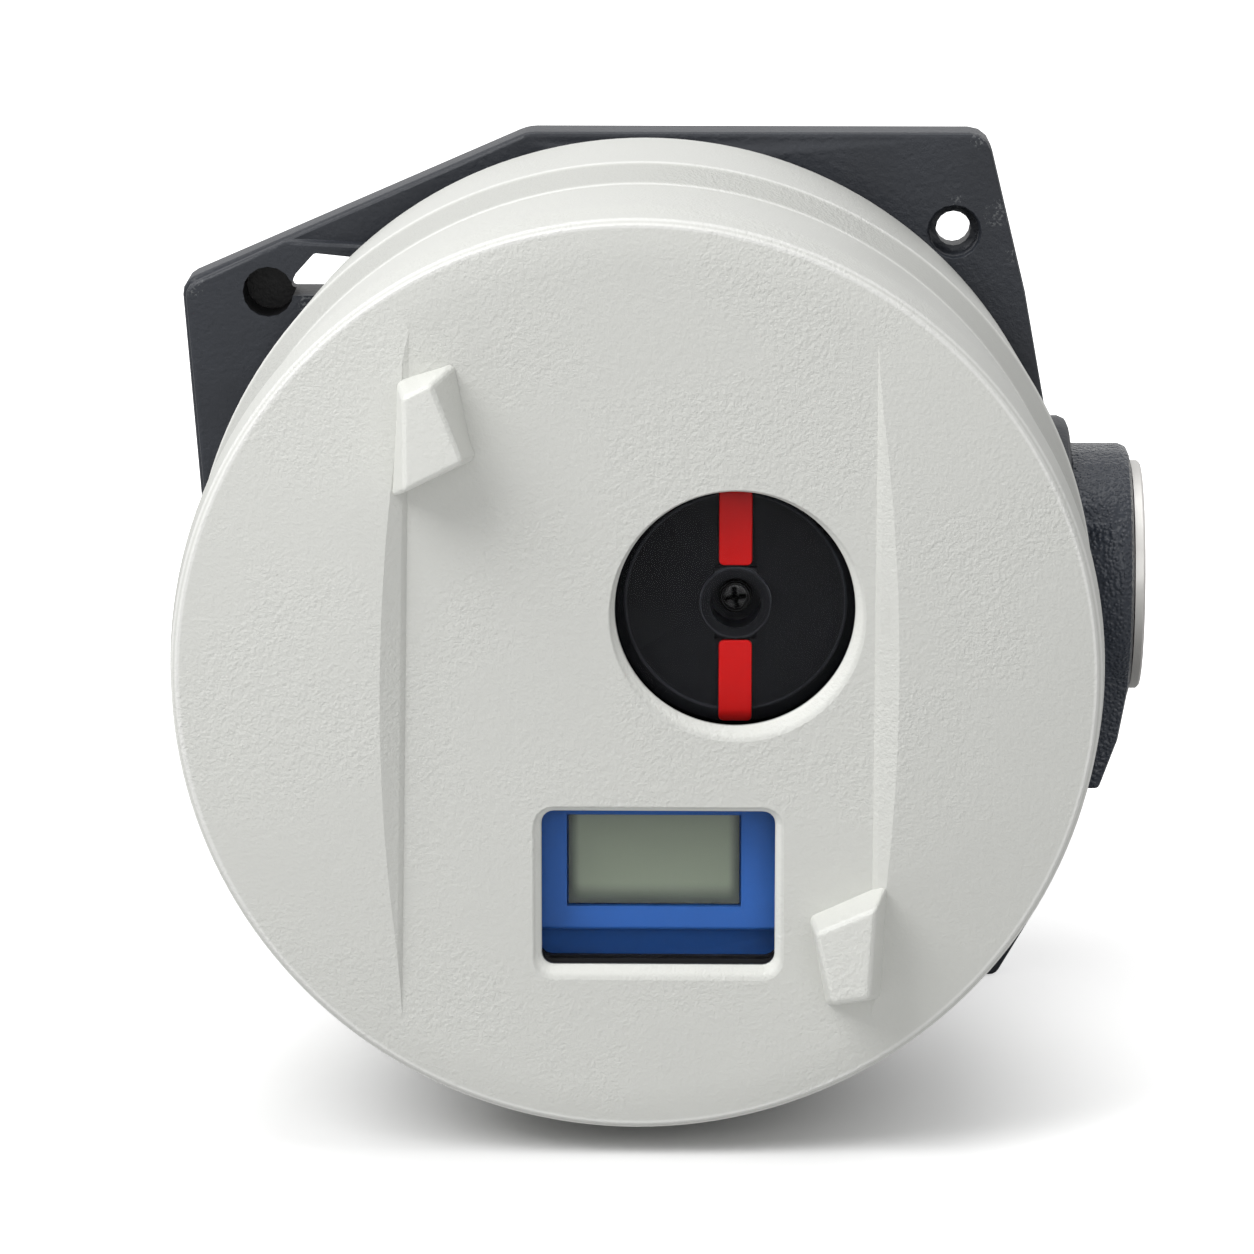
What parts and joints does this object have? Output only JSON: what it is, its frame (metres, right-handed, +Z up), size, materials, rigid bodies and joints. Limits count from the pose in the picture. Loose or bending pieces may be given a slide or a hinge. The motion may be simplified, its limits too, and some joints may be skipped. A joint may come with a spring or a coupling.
{
  "type": "valve positioner",
  "caption": "Explosion-proof style pneumatic valve positioner: cast housing with side entry, screw-on cover with round indicator window and display window, feedback shaft",
  "frame": {"origin": "on the feedback shaft's axis, in the plane of the rear mounting face", "axes": "-Y to the front (the cover's face), +Z up, +X towards the side entry"},
  "size_m": [0.1824, 0.1914, 0.1665],
  "materials": {
    "cover_paint": "light grey fine wrinkled powder coat",
    "cast_paint": "dark blue-grey powder coat on cast aluminium",
    "stainless_steel": "turned stainless steel",
    "bush_bronze": "sintered bronze",
    "seal_rubber": "black rubber",
    "black_plastic": "black moulded plastic",
    "red_plastic": "red plastic",
    "blue_plastic": "blue moulded plastic",
    "key_plastic": "light grey plastic",
    "grey_plastic": "grey moulded plastic",
    "display_glass": "reflective grey-green display",
    "clear_glass": "clear toughened glass",
    "anodised_aluminium": "matt anodised",
    "circuit_board": "green solder mask"
  },
  "bodies": {
    "housing": {"housing": "cast_paint", "entry_plug": "stainless_steel", "entry_seal": "seal_rubber", "port_plug_supply": "grey_plastic", "port_plug_left": "grey_plastic", "port_plug_right": "grey_plastic", "exhaust_vent": "bush_bronze", "earth_clamp": "stainless_steel", "earth_screw": "stainless_steel", "rear_bush": "bush_bronze", "shaft_seal": "seal_rubber", "front_bush": "bush_bronze", "sensor_board": "circuit_board", "electronics_case": "black_plastic", "electronics_cover": "black_plastic", "case_screw_1": "stainless_steel", "case_screw_2": "stainless_steel", "case_screw_3": "stainless_steel", "case_screw_4": "stainless_steel", "operator_panel": "blue_plastic", "display": "display_glass", "panel_screw_left": "stainless_steel", "panel_screw_right": "stainless_steel", "spool_valve_block": "anodised_aluminium", "spool_cap_upper": "anodised_aluminium", "spool_cap_lower": "anodised_aluminium", "valve_screw_1": "stainless_steel", "valve_screw_2": "stainless_steel", "prestage_unit": "anodised_aluminium", "prestage_cap": "black_plastic", "terminal_block": "grey_plastic", "terminal_screw_1": "stainless_steel", "terminal_screw_2": "stainless_steel"},
    "shaft": {"feedback_shaft": "stainless_steel", "shaft_circlip": "stainless_steel", "sensor_magnet": "anodised_aluminium", "pointer_disc": "black_plastic", "pointer_bar_upper": "red_plastic", "pointer_bar_lower": "red_plastic", "pointer_screw": "stainless_steel"},
    "seal": {"cover_seal": "seal_rubber"},
    "cover": {"cover": "cover_paint", "cover_lock_screw": "stainless_steel", "window_gasket": "seal_rubber", "indicator_window": "clear_glass", "window_retainer": "anodised_aluminium", "display_gasket": "seal_rubber", "display_window": "clear_glass", "display_retainer": "anodised_aluminium", "display_retainer_screw_left": "stainless_steel", "display_retainer_screw_right": "stainless_steel"},
    "key_1": {"key_1": "key_plastic"},
    "key_2": {"key_2": "key_plastic"},
    "key_3": {"key_3": "key_plastic"},
    "key_4": {"key_4": "key_plastic"},
    "spool": {"spool": "stainless_steel"}
  },
  "joints": [
    {"name": "shaft_turn", "type": "hinge", "parent": "housing", "child": "shaft", "pos_m": [0, 0, 0], "axis": [0, -1, 0], "range_deg": [-10, 100]},
    {"name": "cover_travel", "type": "slide", "parent": "housing", "child": "seal", "axis": [0, -1, 0], "range_m": [0, 0.009]},
    {"name": "cover_turn", "type": "hinge", "parent": "seal", "child": "cover", "pos_m": [-0.017, -0.1, -0.0126], "axis": [0, -1, 0], "range_deg": [0, 1080]},
    {"name": "key_1_press", "type": "slide", "parent": "housing", "child": "key_1", "axis": [0, 1, 0], "range_m": [0, 0.0008], "stiffness_N_per_m": 800},
    {"name": "key_2_press", "type": "slide", "parent": "housing", "child": "key_2", "axis": [0, 1, 0], "range_m": [0, 0.0008], "stiffness_N_per_m": 800},
    {"name": "key_3_press", "type": "slide", "parent": "housing", "child": "key_3", "axis": [0, 1, 0], "range_m": [0, 0.0008], "stiffness_N_per_m": 800},
    {"name": "key_4_press", "type": "slide", "parent": "housing", "child": "key_4", "axis": [0, 1, 0], "range_m": [0, 0.0008], "stiffness_N_per_m": 800},
    {"name": "spool_shift", "type": "slide", "parent": "housing", "child": "spool", "axis": [0, 0, 1], "range_m": [-0.0015, 0.0015], "stiffness_N_per_m": 1000}
  ],
  "couplings": [
    {"joint": "cover_travel", "follows": "cover_turn", "m_per_rad": 0.00047746}
  ]
}
